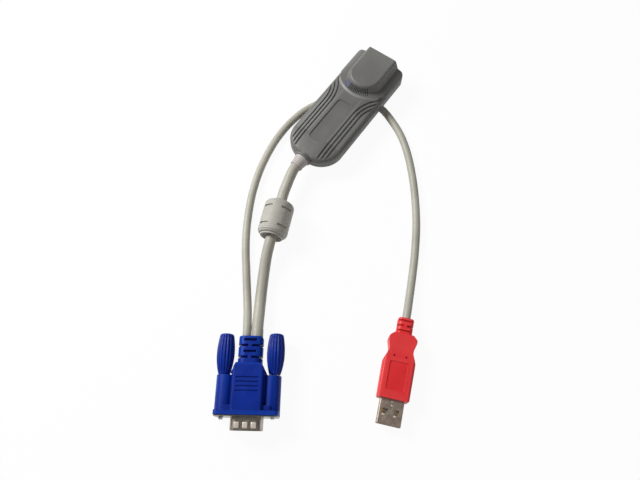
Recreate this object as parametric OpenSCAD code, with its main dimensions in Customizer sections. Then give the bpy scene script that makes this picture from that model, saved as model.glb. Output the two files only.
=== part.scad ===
// Server interface module: a hand-sized pod with a network jack at one end, a video lead
// with a ferrite bead and a screw-in video plug, and a thin lead with a flat bus plug.
// Millimetres. +Y runs along the pod towards its jack, +Z is up, and the origin is the
// middle of the pod's box. The pod lies on its own thin lead, and the leads lie on the floor.

/* [Pod case] */
// Width of the pod across its sides
case_w = 33; // [30:0.5:40]
// Length of the pod from nose to jack end
case_len = 80; // [74:1:100]
// Height of the pod over the raised jack block
case_h = 15; // [15:0.5:18]
// Thickness of the moulded walls
wall = 1.6; // [1.2:0.1:2]
// Height of the grip's crown above the underside
grip_h = 9.6; // [9:0.2:11]
// Radius of the nose corners, seen from above
nose_r = 14; // [9:0.5:16]
// Radius of the rounding along the grip's upper edges
edge_r = 3.2; // [2:0.2:4]
// Slope of the crown where it meets the edge rounding, degrees
crown_angle = 16; // [8:1:25]
// Height of the joint between the two shells above the underside
seam_h = 5.4; // [4.8:0.1:6]
// Radius of the upright corners at the jack end
tail_r = 3; // [1:0.5:5]

/* [Grip details] */
// Distance of the innermost finger groove from the middle of the pod
groove_x = 7.8; // [7:0.2:9]
// Distance from one groove to the next
groove_pitch = 2.1; // [1.6:0.1:2.6]
// Number of grooves on each side
groove_count = 3; // [1:1:4]
// Width of a groove
groove_w = 1; // [0.5:0.1:1.2]
// Depth of a groove
groove_depth = 0.6; // [0.2:0.1:0.8]
// Radius of the bend that carries the inner groove out to the side
groove_bend_r = 28; // [20:1:40]
// Width of the shallow label recess
label_w = 9.4; // [6:0.2:11]
// Length of the label recess
label_len = 31; // [20:1:34]
// Depth of the label recess
label_depth = 0.5; // [0.2:0.05:0.6]

/* [Jack block] */
// Radius of the block's round front at the plateau
plateau_r = 9.3; // [9:0.1:11]
// Radius of the block's round front at its foot
foot_r = 12.9; // [12:0.1:14]
// Distance from the jack end to the middle of the round front
block_len = 17.5; // [15:0.5:20]
// Radius of the ledge's front edge round the block
ledge_r = 17; // [16:0.5:20]
// Height of the ledge's step above the grip
ledge_step = 1; // [0.4:0.1:1.4]
// Number of air slits in the block's front slope
slit_count = 12; // [6:1:14]
// Width of an air slit
slit_w = 0.5; // [0.3:0.05:0.7]

/* [Network jack] */
// Width of the jack's body
jack_w = 15.4; // [15:0.1:16]
// Height of the jack's body
jack_h = 11.4; // [11.2:0.1:12]
// Width of the socket that takes the plug
socket_w = 11.9; // [11.7:0.1:12.2]
// Height of the socket without its latch slot
socket_h = 6.9; // [6.8:0.1:7.2]
// Depth of the socket
socket_depth = 13; // [12:0.5:14]
// Distance from one contact wire to the next
contact_pitch = 1.02; // [1:0.01:1.1]

/* [Leads] */
// Diameter of the video lead
video_d = 6; // [5:0.1:6.4]
// Diameter of the bus lead
bus_d = 4.4; // [3.6:0.1:4.6]
// Diameter of the ferrite bead's cover
bead_d = 16.4; // [15:0.1:18]
// Length of the ferrite bead's cover
bead_len = 20; // [18:0.5:24]

/* [Video plug] */
// Distance between the two thumbscrews
screw_spacing = 24.99; // [24.99:0.01:25]
// Width of the hood's base
hood_w = 31; // [31:0.5:34]
// Height of the hood's base
hood_h = 14.4; // [13.5:0.1:16]
// Length of the hood from the lead entry to the base
hood_len = 37.8; // [36:0.2:42]
// Width of the boot that holds the two leads
boot_w = 12.2; // [12:0.2:13]
// Greatest diameter of a thumb knob
knob_d = 8.9; // [7:0.1:9]
// Length of a thumb knob
knob_len = 20.2; // [16:0.2:22]
// Number of flutes round a thumb knob
flute_count = 16; // [10:1:20]
// Radius of the thumbscrew's thread
thread_r = 1.42; // [1.3:0.01:1.42]
// Free axial play of a thumbscrew
screw_float = 3; // [2:0.5:4]

/* [Bus plug] */
// Width of the plug's metal shell
shell_w = 12; // [12:0.1:12.1]
// Height of the plug's metal shell
shell_h = 4.5; // [4.5:0.1:4.6]
// Length of the metal shell outside the grip
shell_out = 12.1; // [11.5:0.1:12.5]
// Length of the moulded grip
bus_grip_len = 41; // [36:0.5:46]
// Greatest width of the moulded grip
bus_grip_w = 16.2; // [15:0.2:17]
// Thickness of the moulded grip
bus_grip_h = 8.6; // [8:0.1:9.4]

/* [Hidden] */

// Shared fits and steps
overrun = 1;
slip = 0.1;
rest_gap = 0.3;
run_gap = 0.05;
fillet_steps = 6;
round_sides = 64;
small_sides = 32;
full_turn = 360;
quarter_turn = 90;

// Colours of the materials
grey_plastic = [0.44, 0.44, 0.43];
dark_plastic = [0.12, 0.12, 0.13];
lead_grey = [0.72, 0.70, 0.66];
plug_blue = [0.05, 0.12, 0.55];
plug_red = [0.85, 0.18, 0.20];
nickel = [0.75, 0.73, 0.70];
gold = [0.85, 0.68, 0.30];
steel = [0.62, 0.62, 0.63];
board_green = [0.08, 0.36, 0.20];
ferrite_black = [0.16, 0.16, 0.17];
chip_black = [0.09, 0.09, 0.10];
white_plastic = [0.90, 0.89, 0.85];
lamp_blue = [0.35, 0.50, 0.95];
capacitor_tan = [0.66, 0.50, 0.30];

// Heights of the pod, counted from its underside
case_bottom = -case_h / 2;
nose_y = -case_len / 2;
tail_y = case_len / 2;
half_w = case_w / 2;
crown_half = half_w - nose_r;
crown_run = nose_r - edge_r * (1 - sin(crown_angle));
crown_r = crown_run / sin(crown_angle);
crown_drop = crown_r * (1 - cos(crown_angle));
edge_h = grip_h - crown_drop - edge_r * cos(crown_angle);
base_edge = 0.8;
block_y = tail_y - block_len;
plateau_round = 1.6;
foot_h = grip_h - edge_r;
ledge_rim = 0.4;
ledge_y = block_y - foot_r - ledge_rim + ledge_r;
lip_h = 1.2;

// Grooves and label
groove_straight = 37.1;
groove_start = nose_y + groove_straight;
groove_low = seam_h + lip_h + wall / 2;
groove_centre_x = groove_x + groove_bend_r;
label_y = -13.5;
label_r = 2;

// Slits on the front slope
slit_angle = 5.4;
slit_turn = 9;
slit_foot = ledge_step + slip;
slit_rise = 1.9;
slope_h = case_h - foot_h;

// Jack
jack_base = wall + rest_gap;
jack_len = block_len;
jack_floor_t = 2.3;
socket_floor = jack_base + jack_floor_t;
latch_w = 6.6;
latch_h = 1.4;
contact_r = 0.23;
contact_count = 8;
contact_run = 6.4;
contact_rise = 2.1;
contact_foot = 1.2;
contact_back_y = tail_y - socket_depth;

// Board
board_t = 1.6;
board_lift = 1.5;
board_base = wall + board_lift;
board_top = board_base + board_t;
board_margin = 1.5;
board_w = case_w - 2 * (wall + board_margin);
board_setback = 13;
board_nose_y = nose_y + board_setback;
board_tail_gap = 1;
board_tail_y = tail_y - wall - board_tail_gap;
board_corner = 3;
post_r = 1.8;
post_x_share = 0.36;
post_inset = 4;
post_setback = 9;
post_nose_y = board_nose_y + post_inset;
post_tail_y = block_y - post_setback;

// Case screws
screw_x = 7;
screw_setback = 3.1;
screw_y = block_y - screw_setback;
boss_r = 2.4;
case_screw_r = 1.1;
case_screw_head_r = 2;
case_screw_head_t = 1.1;
case_screw_len = 9;
pillar_r = case_screw_head_r + wall / 2;
boss_bottom_gap = 1.2;
boss_hole_h = case_screw_len + boss_bottom_gap;
boss_top = case_h - wall - plateau_round;

// Chips and parts on the board
controller = [10, 10, 1.2];
controller_y = 1;
driver = [4, 5, 1.2];
driver_pitch = 7.4;
driver_y = -10.5;
crystal = [4.6, 2.2, 2];
crystal_place_shares = [0.32, 0.0375];
capacitor_r = 1.1;
capacitor_h = 2.2;
capacitor_place_shares = [[-0.35, -0.05], [0.35, -0.05], [-0.34, 0.06]];
lamp_r = 1.5;
lamp_h = 5.2;
lamp_x = -3.4;
lamp_setback = 6.9;
header = [10.5, 4.6, 2.8];
header_setback = 2;
header_y = board_nose_y + header_setback + header[1] / 2;
wire_r = 0.45;
wire_count = 5;
wire_pitch = 1;
wire_lift = 0.35;
wire_h = board_top + wire_r + wire_lift;

// Strain relief at the nose and the lead that runs through it
lead_h = 4.7;
sleeve_r = 4.05;
sleeve_out = 7.3;
sleeve_flange_r = 5;
sleeve_flange_t = 1.4;
sleeve_rim = 0.45;
sleeve_rim_len = 1.6;
flange_back_y = nose_y + wall + slip;
sleeve_end_y = flange_back_y + sleeve_flange_t / 2;
jacket_in = 3.5;
jacket_end_y = nose_y + jacket_in;

// Floor under the leads
floor_z = case_bottom - rest_gap - bus_d;

// Ferrite bead on the video lead
bead_at = [10.5, -79.5];
bead_heading = 157;
bead_z = floor_z + bead_d / 2;
bead_round = 2.6;
bead_wall = 1.5;
bead_core_len = bead_len - 2 * bead_round;
bead_ring_r = 5.6;
bead_ring_w = 1;
bead_ring_step = 0.7;
bead_recess = 0.9;
bead_collar_r = 4.3;
bead_collar_len = 1.5;
bead_slot_w = 1.1;
bead_slot_depth = 0.8;
bead_slot_span = 44;
bead_slot_place_shares = [-0.25, 0.27];
bead_slot_turns = [28, 108, 208, 288];

// Video plug in its own frame: +Y towards the pins
plug_at = [40, -138];
plug_heading = 145.5;
plug_z = floor_z + hood_h / 2;
screw_x_plug = screw_spacing / 2;
hood_base_t = 2;
hood_step = 0.2;
hood_top_h = hood_h - 2 * hood_step;
hood_rise_y = 10.8;
hood_face_y = 14.2;
web_h = 6.4;
plateau_w = 14.2;
face_tip_w = 6.8;
face_full_y = 19.4;
face_slope = 1.9;
valley_fill = 2.6;
valley_h = 10.4;
ear_r = 4.5;
ear_x = 11.4;
ear_y = 19;
boot_h = 9.4;
boot_corner = 3.6;
boot_straight = 13.4;
hood_waist_y = 18.2;
hood_waist_w = 17.6;
entry_depth = 4.2;
video_entry_x = -2.6;
bus_entry_x = 2.75;
boot_slot_w = 1.1;
boot_slot_depth = 1.5;
boot_slot_pitch = 2.85;
boot_slot_first = 1.9;
boot_slot_rows = 4;
boot_slot_middle = 6.2;
boot_slot_gap = 1.8;
rib_count = 4;
rib_pitch = 2.1;
rib_first = 20.6;
rib_w = 0.7;
rib_depth = 0.4;
rib_len = 10.8;

// Metal shells, insulator and pins of the video plug
flange_w = 30.8;
flange_h = 12.5;
flange_t = 0.6;
flange_corner = 2;
flange_y = hood_len;
d_wide = 16.9;
d_narrow = 14.1;
d_h = 8.3;
d_corner = 2.4;
d_out = 6;
d_wall = 0.45;
dimple_r = 1.8;
dimple_stand = 0.45;
dimple_pitch = 4;
dimple_out = 3.9;
rear_w = 19;
rear_h = 10.4;
rear_depth = 2.2;
rear_wall = 0.5;
insulator_out = 0.6;
insulator_back = 6.4;
chamber_w = 12.6;
chamber_h = 6.2;
chamber_back = 13;
pin_r = 0.38;
pin_out = 5;
pin_back = 9;
pin_pitch = 2.29;
pin_row = 1.98;
pin_stagger = 0.57;

// Thumbscrews: a washer clipped into a neck of the screw slides in a pocket of the ear
shank_r = 1.5;
neck_r = 1.1;
washer_r = 2.4;
washer_t = 1;
neck_w = washer_t + slip;
washer_y = 30.4;
knob_gap = 0.2;
right_draw = 0.5;
tip_out = 1.3;
knob_end_r_share = 0.76;
knob_root_r_share = 0.62;
knob_belly_share = 0.52;
knob_bore_depth = 15;
shank_in = 14.5;
flute_depth = 0.45;
flute_sides = 4;
knob_stations = 5;

// Bus plug in its own frame: +Y towards its tip
bus_plug_at = [98, -84];
bus_plug_heading = 157;
bus_plug_z = floor_z + bus_grip_h / 2;
bus_boot_w = 8.2;
bus_boot_h = 7.2;
bus_boot_corner = 2.2;
bus_boot_len = 8.3;
bus_slot_pitch = 2.6;
bus_slot_first = 1.6;
bus_slot_w = 1;
bus_slot_depth = 1.1;
bus_slot_gap = 1.6;
bus_edge = 1.6;
grip_width_shares = [0.6, 0.88, 0.88, 0.75, 0.75, 1, 0.97];
grip_place_shares = [0.205, 0.255, 0.295, 0.39, 0.43, 0.55, 1];
panel_w = 9;
panel_len = 14;
panel_y = 22.8;
panel_depth = 0.3;
panel_corner = 0.8;
dot_r = 0.5;
dot_depth = 1;
dot_x = 3;
dot_y = 20;
shell_wall = 0.3;
shell_in = 6;
shell_corner = 0.7;
window = 2.6;
window_x = 2.85;
window_out = 6;
tongue_w = shell_w - 2 * shell_wall - 2 * slip;
tongue_h = 1.9;
tongue_back = 1;
tongue_base_out = 2;
blade_w = 1;
blade_t = 0.25;
blade_len = 8.4;
blade_near = 1;
blade_far = 3.5;
blade_x = [-blade_far, -blade_near, blade_near, blade_far];

// Route of the video lead, from inside the pod to inside the plug's boot
video_exit = case_bottom + lead_h;
video_route = [[0, jacket_end_y, video_exit], [0, -41, video_exit], [0, -48, video_exit],
    [0.6, -52, -2.95], [2.2, -58, -3.4], [4.4, -65, -3.85], [8, -73.6, -4], [13, -85.4, -4],
    [16, -92.5, -4.5], [19, -99.5, -6.4], [23.5, -108, -8.7], [29.5, -118, -9.2],
    [34.8, -126.2, -8], [38.6, -131.8, -6], [40.7, -134.4, -5.1], [44.4, -139.8, -5]];

// Route of the bus lead, from the plug's boot under the pod to the bus plug
bus_route = [[40, -142.8, -5], [35.6, -136.4, -5.1], [32.8, -132.9, -6.2], [28, -127.2, -8.8],
    [21, -119.2, -10], [13.5, -110.4, -10], [6, -101.5, -10], [-1, -92, -10],
    [-7.5, -81.5, -10], [-13, -71, -10], [-17.8, -59, -10], [-21.3, -46, -10],
    [-23.2, -33, -10], [-23, -20, -10], [-20.5, -8, -10], [-14.5, 3.5, -10],
    [-5.5, 12.5, -10], [5.5, 18, -10], [16, 18, -10], [26, 14.2, -10], [36, 8.6, -10],
    [46, 0.2, -10], [56, -10.6, -10], [65, -22, -10], [74, -35.2, -10],
    [82, -49.4, -10], [88.4, -62.4, -10], [93.4, -73.4, -9.2], [96.2, -79.8, -8], [99.6, -87.7, -7.9]];
video_sides = 12;
bus_sides = 8;
route_steps = 2;

// Points of a polygon whose corners are rounded, each with its own radius
function unit(v) = v / norm(v);
function corner_arc(a, b, c, r) =
    let (u = unit(a - b), w = unit(c - b), half = acos(u * w) / 2)
    let (reach = r / tan(half), centre = b + unit(u + w) * r / sin(half))
    let (from = b + u * reach - centre, to = b + w * reach - centre)
    let (start = atan2(from[1], from[0]), swing = atan2(to[1], to[0]) - start)
    let (turn = swing > full_turn / 2 ? swing - full_turn
        : swing < -full_turn / 2 ? swing + full_turn : swing)
    [for (i = [0:fillet_steps]) centre
        + r * [cos(start + turn * i / fillet_steps), sin(start + turn * i / fillet_steps)]];
function rounded(points, radii) = let (n = len(points))
    [for (i = [0:n - 1]) each radii[i] <= 0 ? [points[i]]
        : corner_arc(points[(i + n - 1) % n], points[i], points[(i + 1) % n], radii[i])];
function box_points(w, h) = [[-w / 2, -h / 2], [w / 2, -h / 2], [w / 2, h / 2], [-w / 2, h / 2]];
function round_box(w, h, r) = rounded(box_points(w, h), [r, r, r, r]);

// Smooth route through its points, and the rings of a tube along it
function spline(a, b, c, d, t) = (2 * b + (c - a) * t + (2 * a - 5 * b + 4 * c - d) * t * t
    + (3 * b - a - 3 * c + d) * t * t * t) / 2;
function smooth(p) = let (n = len(p), lowest = min([for (q = p) q[2]]))
    [for (i = [0:n - 2], s = [0:route_steps - 1])
        let (q = spline(p[max(i - 1, 0)], p[i], p[i + 1], p[min(i + 2, n - 1)], s / route_steps))
        [q[0], q[1], max(q[2], lowest)],
    p[n - 1]];
function heading(p, i) = let (n = len(p))
    i == 0 ? unit(p[1] - p[0]) : i == n - 1 ? unit(p[n - 1] - p[n - 2]) : unit(p[i + 1] - p[i - 1]);
function ring(p, i, r, sides) = let (t = heading(p, i), side = unit(cross(t, [0, 0, 1])))
    let (up = cross(side, t))
    [for (k = [0:sides - 1]) p[i] + r * (side * cos(k * full_turn / sides)
        + up * sin(k * full_turn / sides))];

module tube_along(route, d, sides) {
    p = smooth(route);
    n = len(p);
    points = [for (i = [0:n - 1]) each ring(p, i, d / 2, sides)];
    walls = [for (i = [0:n - 2], k = [0:sides - 1]) let (a = i * sides + k,
        b = i * sides + (k + 1) % sides) each [[a, a + sides, b], [b, a + sides, b + sides]]];
    first = [for (k = [1:sides - 2]) [0, k, k + 1]];
    last = [for (k = [1:sides - 2]) let (z = (n - 1) * sides) [z, z + k + 1, z + k]];
    polyhedron(points = points, faces = concat(walls, first, last));
}

// Placing of the pod, the bead and the two plugs
module in_pod() {
    translate([0, 0, case_bottom])
        children();
}
module at_bead() {
    translate([bead_at[0], bead_at[1], bead_z])
        rotate([0, 0, -bead_heading])
            children();
}
module at_video_plug() {
    translate([plug_at[0], plug_at[1], plug_z])
        rotate([0, 0, -plug_heading])
            children();
}
module at_bus_plug() {
    translate([bus_plug_at[0], bus_plug_at[1], bus_plug_z])
        rotate([0, 0, -bus_plug_heading])
            children();
}

// A solid turned about the Y axis, and one cut from the XZ plane and run along Y
module turned(points, sides = round_sides) {
    rotate([-quarter_turn, 0, 0])
        rotate_extrude($fn = sides)
            polygon(points);
}
module run_y(from, to) {
    translate([0, to, 0])
        rotate([quarter_turn, 0, 0])
            linear_extrude(to - from)
                children();
}
module rod_y(r, from, to, sides = small_sides) {
    translate([0, from, 0])
        rotate([-quarter_turn, 0, 0])
            cylinder(r = r, h = to - from, $fn = sides);
}

// Half section of the grip's edge: level crown, edge rounding, wall and small base edge
function crown_points(inset) =
    [for (i = [0:fillet_steps]) let (a = crown_angle * i / fillet_steps)
        [(crown_r - inset) * sin(a), grip_h - crown_r + (crown_r - inset) * cos(a)]];
function edge_points(inset) =
    [for (i = [1:fillet_steps]) let (a = crown_angle + (quarter_turn - crown_angle) * i / fillet_steps)
        [nose_r - edge_r + (edge_r - inset) * sin(a), edge_h + (edge_r - inset) * cos(a)]];
function grip_section(inset) = concat([[0, inset]], crown_points(inset), edge_points(inset),
    [[nose_r - inset, inset + base_edge], [nose_r - inset - base_edge, inset]]);

// Pod without the jack block, shrunk by an inset all round
module grip_form(inset) {
    corner_y = nose_y + nose_r;
    for (side = [-1, 1]) {
        translate([side * crown_half, 0, 0])
            scale([side, 1, 1])
                run_y(corner_y, tail_y - inset)
                    polygon(grip_section(inset));
        translate([side * crown_half, corner_y, 0])
            rotate([0, 0, side > 0 ? -quarter_turn : full_turn / 2])
                rotate_extrude(angle = quarter_turn, $fn = round_sides)
                    polygon(grip_section(inset));
    }
    translate([0, corner_y, 0])
        rotate([0, 0, -quarter_turn])
            translate([0, crown_half, 0])
                rotate([quarter_turn, 0, 0])
                    linear_extrude(2 * crown_half)
                        polygon(grip_section(inset));
    translate([-crown_half, corner_y, inset])
        cube([2 * crown_half, case_len - nose_r - inset, grip_h - 2 * inset]);
}

// Half section of the raised block: foot, slope, rounded edge and plateau
function block_section(inset) = let (rise = (foot_r - plateau_r) / slope_h)
    rounded([[0, foot_h - wall], [foot_r + rise * wall - inset, foot_h - wall],
        [plateau_r - inset, case_h - inset], [0, case_h - inset]],
        [0, 0, max(plateau_round - inset, 0), 0]);
module block_form(inset) {
    translate([0, block_y, 0])
        rotate_extrude($fn = round_sides)
            polygon(block_section(inset));
    for (side = [0, 1])
        mirror([side, 0, 0])
            run_y(block_y, tail_y - inset)
                polygon(block_section(inset));
}

module ledge_plan() {
    translate([0, ledge_y, 0])
        cylinder(r = ledge_r, h = case_h, $fn = round_sides);
    translate([-half_w, ledge_y, 0])
        cube([case_w, case_len, case_h]);
}

module tail_corners() {
    for (side = [-1, 1])
        translate([side * (half_w - tail_r), tail_y - tail_r, -overrun])
            difference() {
                translate([side > 0 ? 0 : -2 * tail_r, 0, 0])
                    cube([2 * tail_r, 2 * tail_r, case_h + 2 * overrun]);
                cylinder(r = tail_r, h = case_h + 2 * overrun, $fn = round_sides);
            }
}

module pod_outside() {
    difference() {
        union() {
            grip_form(0);
            intersection() {
                translate([0, 0, ledge_step])
                    grip_form(0);
                ledge_plan();
            }
            block_form(0);
        }
        tail_corners();
    }
}

module pod_inside() {
    grip_form(wall);
    block_form(wall);
}

// Plan of the finger grooves: straight runs from the nose that bend out to the sides
module groove_plan() {
    for (side = [0, 1], i = [0:groove_count - 1]) {
        x = groove_x + i * groove_pitch;
        bend = groove_bend_r - i * groove_pitch;
        mirror([side, 0, 0]) {
            translate([x - groove_w / 2, nose_y - overrun, groove_low])
                cube([groove_w, groove_straight + overrun, case_h]);
            translate([groove_centre_x, groove_start, groove_low])
                rotate([0, 0, 3 * quarter_turn / 2])
                    rotate_extrude(angle = quarter_turn / 2, $fn = 2 * round_sides)
                        translate([bend - groove_w / 2, 0])
                            square([groove_w, case_h]);
        }
    }
}

module air_slits() {
    for (i = [0:slit_count - 1])
        translate([0, block_y, grip_h + slit_foot])
            rotate([0, 0, slit_turn + (i - (slit_count - 1) / 2) * slit_angle])
                translate([-slit_w / 2, -foot_r, 0])
                    cube([slit_w, foot_r - plateau_r + wall, slit_rise]);
}

// Plan of the case, drawn in by an inset, for the seam's lip
module case_plan(inset, low, high) {
    corner = nose_r - inset;
    translate([0, 0, low])
        linear_extrude(high - low)
            polygon(rounded([[-half_w + inset, nose_y + inset], [half_w - inset, nose_y + inset],
                [half_w - inset, tail_y - inset], [-half_w + inset, tail_y - inset]],
                [corner, corner, tail_r - min(inset, tail_r / 2), tail_r - min(inset, tail_r / 2)]));
}

module jack_mouth() {
    translate([-jack_w / 2 - slip, tail_y - wall - overrun, jack_base - slip])
        cube([jack_w + 2 * slip, wall + 2 * overrun, jack_h + 2 * slip]);
}

module nose_hole() {
    translate([0, 0, lead_h])
        rod_y(sleeve_r + slip / 2, nose_y - overrun, sleeve_end_y + slip, round_sides);
    lead_passage();
}

module lead_passage() {
    translate([0, 0, lead_h])
        rod_y(video_d / 2 + slip, nose_y - sleeve_out - overrun, jacket_end_y + slip, round_sides);
}

module upper_shell() {
    color(grey_plastic)
        in_pod() {
            difference() {
                intersection() {
                    pod_outside();
                    translate([-case_w, -case_len, seam_h])
                        cube([2 * case_w, 2 * case_len, case_h]);
                }
                pod_inside();
                case_plan(wall / 2, 0, seam_h + lip_h + slip);
                jack_mouth();
                nose_hole();
                air_slits();
                difference() {
                    groove_plan();
                    grip_form(groove_depth);
                    ledge_plan();
                }
                translate([0, label_y, grip_h - label_depth])
                    linear_extrude(overrun)
                        polygon(round_box(label_w, label_len, label_r));
            }
            for (side = [-1, 1])
                translate([side * screw_x, screw_y, board_top])
                    difference() {
                        cylinder(r = boss_r, h = boss_top - board_top, $fn = small_sides);
                        translate([0, 0, -overrun])
                            cylinder(r = case_screw_r, h = boss_hole_h - board_top + overrun,
                                $fn = small_sides);
                    }
        }
}

module lower_shell() {
    color(grey_plastic)
        in_pod() {
            difference() {
                union() {
                    difference() {
                        intersection() {
                            pod_outside();
                            translate([-case_w, -case_len, 0])
                                cube([2 * case_w, 2 * case_len, seam_h]);
                        }
                        grip_form(wall);
                    }
                    difference() {
                        case_plan(wall / 2 + slip / 2, wall, seam_h + lip_h);
                        case_plan(wall, 0, case_h);
                    }
                    for (side = [-1, 1])
                        translate([side * screw_x, screw_y, 0])
                            cylinder(r = pillar_r, h = board_base, $fn = small_sides);
                    for (side = [-1, 1], y = [post_nose_y, post_tail_y])
                        translate([side * board_w * post_x_share, y, 0])
                            cylinder(r = post_r, h = board_base, $fn = small_sides);
                }
                jack_mouth();
                nose_hole();
                for (side = [-1, 1])
                    translate([side * screw_x, screw_y, -overrun]) {
                        cylinder(r = case_screw_r + slip, h = case_h, $fn = small_sides);
                        cylinder(r = case_screw_head_r + slip, h = case_screw_head_t + overrun,
                            $fn = small_sides);
                    }
            }
        }
}

module case_screws() {
    color(steel)
        in_pod()
            for (side = [-1, 1])
                translate([side * screw_x, screw_y, 0]) {
                    cylinder(r = case_screw_head_r, h = case_screw_head_t, $fn = small_sides);
                    cylinder(r = case_screw_r - run_gap, h = case_screw_len, $fn = small_sides);
                }
}

module circuit_board() {
    notch_w = jack_w + 2 * rest_gap;
    color(board_green)
        in_pod()
            difference() {
                translate([0, 0, board_base])
                    linear_extrude(board_t)
                        polygon(rounded([[-board_w / 2, board_nose_y], [board_w / 2, board_nose_y],
                            [board_w / 2, board_tail_y], [notch_w / 2, board_tail_y],
                            [notch_w / 2, block_y - rest_gap], [-notch_w / 2, block_y - rest_gap],
                            [-notch_w / 2, board_tail_y], [-board_w / 2, board_tail_y]],
                            [board_corner, board_corner, 0, 0, 0, 0, 0, 0]));
                for (side = [-1, 1])
                    translate([side * screw_x, screw_y, 0])
                        cylinder(r = case_screw_r + slip, h = case_h, $fn = small_sides);
            }
}

// A block that stands on the board, centred at a place
module on_board(at, size) {
    translate([at[0] - size[0] / 2, at[1] - size[1] / 2, board_top])
        cube(size);
}

module controller_chip() {
    color(chip_black)
        in_pod()
            on_board([0, controller_y], controller);
}

module line_driver_chips() {
    color(chip_black)
        in_pod()
            for (i = [-1:1])
                on_board([i * driver_pitch, driver_y], driver);
}

module clock_crystal() {
    color(nickel)
        in_pod()
            on_board([crystal_place_shares[0] * board_w, crystal_place_shares[1] * case_len], crystal);
}

module board_capacitors() {
    color(capacitor_tan)
        in_pod()
            for (share = capacitor_place_shares)
                translate([share[0] * board_w, share[1] * case_len, board_top])
                    cylinder(r = capacitor_r, h = capacitor_h, $fn = small_sides);
}

module status_lamp() {
    color(lamp_blue)
        in_pod()
            translate([lamp_x, block_y - lamp_setback, board_top])
                rotate_extrude($fn = small_sides)
                    polygon(concat([[0, 0], [lamp_r, 0]],
                        [for (i = [0:fillet_steps]) let (a = quarter_turn * i / fillet_steps)
                            [lamp_r * cos(a), lamp_h - lamp_r + lamp_r * sin(a)]]));
}

module lead_header() {
    color(white_plastic)
        in_pod()
            on_board([0, header_y], header);
}

module core_wires() {
    color(gold)
        in_pod()
            for (i = [0:wire_count - 1])
                translate([(i - (wire_count - 1) / 2) * wire_pitch, 0, wire_h])
                    rod_y(wire_r, jacket_end_y, header_y - header[1] / 2, small_sides / 2);
}

// Network jack: a stepped socket with a latch slot above and a comb of contact wires
module jack_housing() {
    front = tail_y;
    color(dark_plastic)
        in_pod()
            difference() {
                translate([-jack_w / 2, front - jack_len, jack_base])
                    cube([jack_w, jack_len, jack_h]);
                translate([-socket_w / 2, front - socket_depth, socket_floor])
                    cube([socket_w, socket_depth + overrun, socket_h]);
                translate([-latch_w / 2, front - socket_depth, socket_floor])
                    cube([latch_w, socket_depth + overrun, socket_h + latch_h]);
                for (i = [0:contact_count - 1])
                    translate([(i - (contact_count - 1) / 2) * contact_pitch - contact_r - slip,
                        contact_back_y, socket_floor - contact_foot])
                        cube([2 * (contact_r + slip), contact_run + 2 * contact_foot,
                            contact_foot + overrun]);
            }
}

module jack_contacts() {
    slope = atan2(contact_rise, contact_run);
    color(gold)
        in_pod()
            for (i = [0:contact_count - 1])
                translate([(i - (contact_count - 1) / 2) * contact_pitch,
                    contact_back_y + contact_run + contact_foot,
                    socket_floor - contact_foot + contact_r + run_gap])
                    rotate([quarter_turn - slope, 0, 0])
                        cylinder(r = contact_r, h = contact_run, $fn = small_sides / 2);
}

module pod_strain_relief() {
    tip = nose_y - sleeve_out;
    body_r = sleeve_r - sleeve_rim;
    color(lead_grey)
        in_pod()
            difference() {
                union() {
                    translate([0, 0, lead_h])
                        turned([[0, tip], [body_r, tip], [sleeve_r, tip + sleeve_rim],
                            [sleeve_r, tip + sleeve_rim_len], [body_r, tip + sleeve_rim_len + sleeve_rim],
                            [sleeve_r - sleeve_rim / 2, nose_y], [sleeve_r, nose_y + wall / 2],
                            [sleeve_r, sleeve_end_y], [0, sleeve_end_y]]);
                    intersection() {
                        translate([0, 0, lead_h])
                            rod_y(sleeve_flange_r, nose_y, flange_back_y + sleeve_flange_t, round_sides);
                        grip_form(wall + slip);
                    }
                }
                lead_passage();
            }
}

module video_lead() {
    color(lead_grey)
        tube_along(video_route, video_d, video_sides);
}

module bus_lead() {
    color(lead_grey)
        tube_along(bus_route, bus_d, bus_sides);
}

// Ferrite bead: a sleeve of ferrite under a moulded cover with ring, recess and finger slots
module ferrite_core() {
    color(ferrite_black)
        at_bead()
            difference() {
                rod_y(bead_d / 2 - bead_wall - slip, -bead_core_len / 2, bead_core_len / 2, round_sides);
                rod_y(video_d / 2 + rest_gap, -bead_len, bead_len, round_sides);
            }
}

module ferrite_cover() {
    outer = bead_d / 2;
    half = bead_len / 2;
    bore = video_d / 2 + slip;
    hollow_r = outer - bead_wall;
    hollow = bead_core_len / 2 + slip;
    color(lead_grey)
        at_bead()
            difference() {
                turned(concat([[bore, -half - bead_collar_len],
                    [bead_collar_r - sleeve_rim, -half - bead_collar_len], [bead_collar_r, -half]],
                    [for (i = [0:fillet_steps]) let (a = quarter_turn * i / fillet_steps)
                        [outer - bead_round + bead_round * sin(a),
                            -half + bead_round - bead_round * cos(a)]],
                    [for (i = [0:fillet_steps]) let (a = quarter_turn * i / fillet_steps)
                        [outer - bead_round + bead_round * cos(a),
                            half - bead_round + bead_round * sin(a)]],
                    [[bead_ring_r + bead_ring_w, half],
                    [bead_ring_r + bead_ring_w / 2, half + bead_ring_step],
                    [bead_ring_r, half + bead_ring_step], [bead_ring_r - bead_ring_w, half - bead_recess],
                    [bore, half - bead_recess], [bore, hollow], [hollow_r, hollow],
                    [hollow_r, -hollow], [bore, -hollow]]));
                for (share = bead_slot_place_shares, turn = bead_slot_turns)
                    translate([0, share * bead_len, 0])
                        rotate([-quarter_turn, 0, 0])
                            rotate([0, 0, turn])
                                rotate_extrude(angle = bead_slot_span, $fn = round_sides)
                                    translate([outer - bead_slot_depth, -bead_slot_w / 2])
                                        square([bead_slot_depth + overrun, bead_slot_w]);
            }
}

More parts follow.
